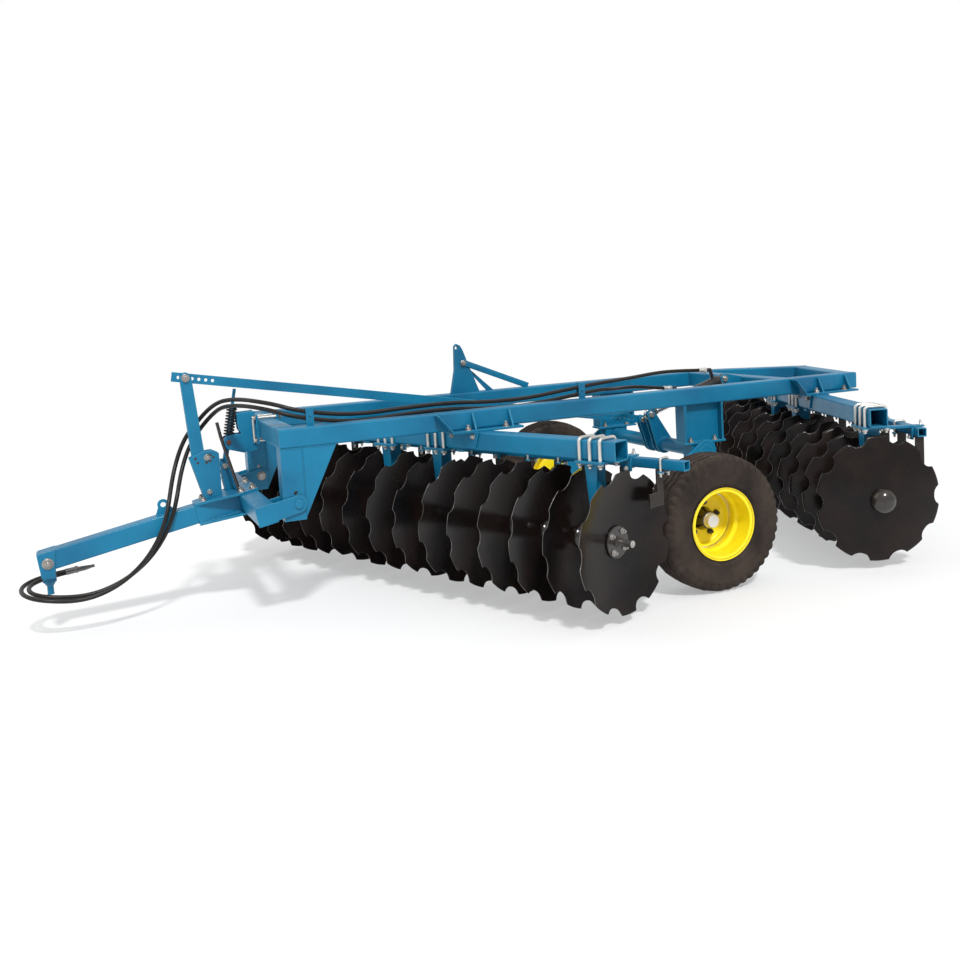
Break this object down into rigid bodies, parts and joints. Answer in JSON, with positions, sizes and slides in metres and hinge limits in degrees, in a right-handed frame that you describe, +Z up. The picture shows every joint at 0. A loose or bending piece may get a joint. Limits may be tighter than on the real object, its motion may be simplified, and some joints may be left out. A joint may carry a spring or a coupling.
{
  "type": "tandem disc harrow",
  "caption": "Towed tandem disc harrow: box-tube frame on two transport wheels, two angled gangs of notched discs with scrapers, and a hinged drawbar with a levelling bar.",
  "frame": {"origin": "On the ground under the middle of the machine's bounding box, hoses left out.", "axes": "+Z up, -Y forward to the drawbar, +X to the machine's left, where the gangs spread apart."},
  "size_m": [3.103, 5.7418, 1.3539],
  "materials": {
    "frame_blue": "semi_gloss",
    "scraper_black": "satin",
    "hose_rubber": "satin",
    "zinc": "satin",
    "shaft_black": "satin",
    "trunnion_brown": "satin",
    "spring_black": "satin",
    "tyre_rubber": "matte",
    "rim_yellow": "semi_gloss",
    "cylinder_black": "semi_gloss",
    "rod_chrome": "polished",
    "disc_black": "gloss"
  },
  "bodies": {
    "frame": {"main_frame": "frame_blue", "front_legs": "frame_blue", "gang_carriers": "frame_blue", "gang_beams": "frame_blue", "front_hangers": "frame_blue", "rear_hangers": "frame_blue", "scraper_bars": "frame_blue", "front_scrapers": "scraper_black", "rear_scrapers": "scraper_black", "rockshaft_carriers": "frame_blue", "cylinder_anchor": "frame_blue", "spring_bracket": "frame_blue", "mast": "frame_blue", "hose_clips": "frame_blue", "upper_hose": "hose_rubber", "lower_hose": "hose_rubber", "hose_couplings": "zinc"},
    "drawbar": {"drawbar_yoke": "frame_blue", "drawbar_plates": "frame_blue", "drawbar_tube": "frame_blue", "hitch_cheeks": "frame_blue", "levelling_post": "frame_blue", "spring_clevis": "frame_blue", "hose_carrier": "shaft_black"},
    "hitch": {"hitch_pin": "frame_blue"},
    "levelling_bar": {"levelling_bar": "frame_blue"},
    "spring_trunnion": {"spring_trunnion": "trunnion_brown", "spring": "spring_black"},
    "spring_rod": {"spring_rod": "frame_blue"},
    "rockshaft": {"rockshaft": "frame_blue", "wheel_arms": "frame_blue"},
    "left_wheel": {"left_tyre": "tyre_rubber", "left_rim": "rim_yellow"},
    "right_wheel": {"right_tyre": "tyre_rubber", "right_rim": "rim_yellow"},
    "cylinder_barrel": {"cylinder_barrel": "cylinder_black"},
    "cylinder_rod": {"cylinder_rod": "rod_chrome"},
    "front_left_gang": {"front_left_discs": "disc_black", "front_left_shaft": "shaft_black"},
    "front_right_gang": {"front_right_discs": "disc_black", "front_right_shaft": "shaft_black"},
    "rear_left_gang": {"rear_left_discs": "disc_black", "rear_left_shaft": "shaft_black"},
    "rear_right_gang": {"rear_right_discs": "disc_black", "rear_right_shaft": "shaft_black"}
  },
  "joints": [
    {"name": "rockshaft_turn", "type": "hinge", "parent": "frame", "child": "rockshaft", "pos_m": [-0.118, 0.9188, 0.636], "axis": [1, 0, 0], "range_deg": [-21.2, 24.06]},
    {"name": "drawbar_lift", "type": "hinge", "parent": "frame", "child": "drawbar", "pos_m": [-0.118, -1.5682, 0.639], "axis": [1, 0, 0], "range_deg": [-5.5, 6.2]},
    {"name": "levelling_bar_pivot", "type": "hinge", "parent": "drawbar", "child": "levelling_bar", "pos_m": [-0.118, -2.0112, 1.296], "axis": [1, 0, 0], "range_deg": [-6.2, 5.5]},
    {"name": "barrel_pivot", "type": "hinge", "parent": "frame", "child": "cylinder_barrel", "pos_m": [0.002, 1.4088, 1.021], "axis": [1, 0, 0], "range_deg": [-1.2, 1.4]},
    {"name": "cylinder_stroke", "type": "slide", "parent": "cylinder_barrel", "child": "cylinder_rod", "axis": [0, -0.9527, -0.3039], "range_m": [-0.082, 0.092]},
    {"name": "trunnion_pivot", "type": "hinge", "parent": "frame", "child": "spring_trunnion", "pos_m": [-0.19, -1.8062, 0.917], "axis": [1, 0, 0], "range_deg": [-4, 3.6]},
    {"name": "spring_rod_slide", "type": "slide", "parent": "spring_trunnion", "child": "spring_rod", "axis": [0, -0.2004, -0.9797], "range_m": [-0.026, 0.03], "deforming": ["spring"]},
    {"name": "hitch_swing", "type": "hinge", "parent": "drawbar", "child": "hitch", "pos_m": [-0.118, -2.77066, 0.39435], "axis": [1, 0, 0], "range_deg": [-20, 20]},
    {"name": "left_wheel_spin", "type": "hinge", "parent": "rockshaft", "child": "left_wheel", "pos_m": [1.132, 0.5168, 0.372], "axis": [1, 0, 0], "continuous": true},
    {"name": "right_wheel_spin", "type": "hinge", "parent": "rockshaft", "child": "right_wheel", "pos_m": [-0.893, 0.5168, 0.372], "axis": [1, 0, 0], "continuous": true},
    {"name": "front_left_gang_spin", "type": "hinge", "parent": "frame", "child": "front_left_gang", "pos_m": [0.7827, -0.43693, 0.4065], "axis": [0.9259, 0.3778, 0], "continuous": true},
    {"name": "front_right_gang_spin", "type": "hinge", "parent": "frame", "child": "front_right_gang", "pos_m": [-0.6987, -1.04147, 0.4065], "axis": [0.9259, 0.3778, 0], "continuous": true},
    {"name": "rear_left_gang_spin", "type": "hinge", "parent": "frame", "child": "rear_left_gang", "pos_m": [0.71775, 1.70618, 0.4065], "axis": [0.9397, -0.342, 0], "continuous": true},
    {"name": "rear_right_gang_spin", "type": "hinge", "parent": "frame", "child": "rear_right_gang", "pos_m": [-0.78575, 2.25342, 0.4065], "axis": [0.9397, -0.342, 0], "continuous": true}
  ],
  "couplings": [
    {"joint": "drawbar_lift", "follows": "rockshaft_turn", "ratio": 0.2326},
    {"joint": "levelling_bar_pivot", "follows": "rockshaft_turn", "ratio": -0.2266},
    {"joint": "barrel_pivot", "follows": "rockshaft_turn", "ratio": 0.0469},
    {"joint": "cylinder_stroke", "follows": "rockshaft_turn", "m_per_rad": 0.2139},
    {"joint": "trunnion_pivot", "follows": "rockshaft_turn", "ratio": -0.1591},
    {"joint": "spring_rod_slide", "follows": "rockshaft_turn", "m_per_rad": 0.067}
  ]
}
